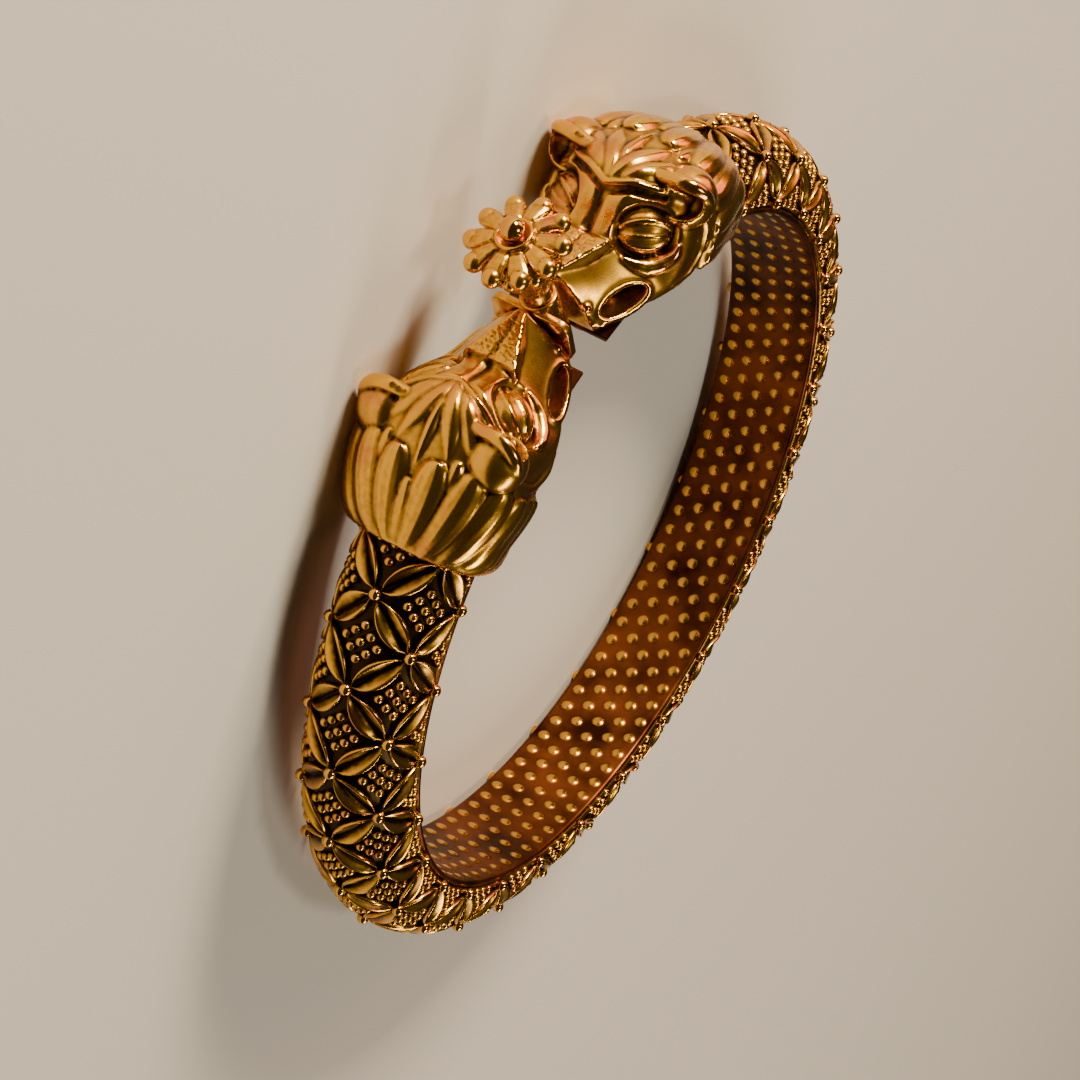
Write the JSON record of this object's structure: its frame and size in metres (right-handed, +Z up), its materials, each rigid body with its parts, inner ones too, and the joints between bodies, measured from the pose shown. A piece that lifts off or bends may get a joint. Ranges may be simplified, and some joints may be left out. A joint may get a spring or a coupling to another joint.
{
  "type": "kada bangle",
  "caption": "Rigid round bangle with leaf lattice relief; its ends are facing lion heads closed by a flower-headed screw.",
  "frame": {"origin": "middle of the footprint, on the surface that the bangle rests on", "axes": "+Z up; the clasp and both heads face -Y; the left head lies towards +X as the picture's lower head, the right head towards -X"},
  "size_m": [0.0728, 0.0806, 0.0146],
  "materials": {
    "cast_gold": "cast, gold plated, polished high spots over darkened hollows",
    "lining_gold": "smooth sheet, gold plated, dulled by wear",
    "screw_brass": "turned, bright",
    "flower_gold": "cast, gold plated, bright polish"
  },
  "bodies": {
    "bangle": {"band": "cast_gold", "inner_liner": "lining_gold", "head_left": "cast_gold", "head_right": "cast_gold", "clasp_lug": "cast_gold"},
    "shank": {"screw_pin": "screw_brass"},
    "flower": {"flower": "flower_gold", "flower_bead": "flower_gold"}
  },
  "joints": [
    {"name": "screw_lift", "type": "slide", "parent": "bangle", "child": "shank", "axis": [0, -0.9936, -0.113], "range_m": [0, 0.0035]},
    {"name": "screw_turn", "type": "hinge", "parent": "shank", "child": "flower", "pos_m": [0, -0.03158, 0.0072], "axis": [0, -0.9936, -0.113], "continuous": true}
  ],
  "couplings": [
    {"joint": "screw_turn", "follows": "screw_lift", "rad_per_m": 8976}
  ]
}
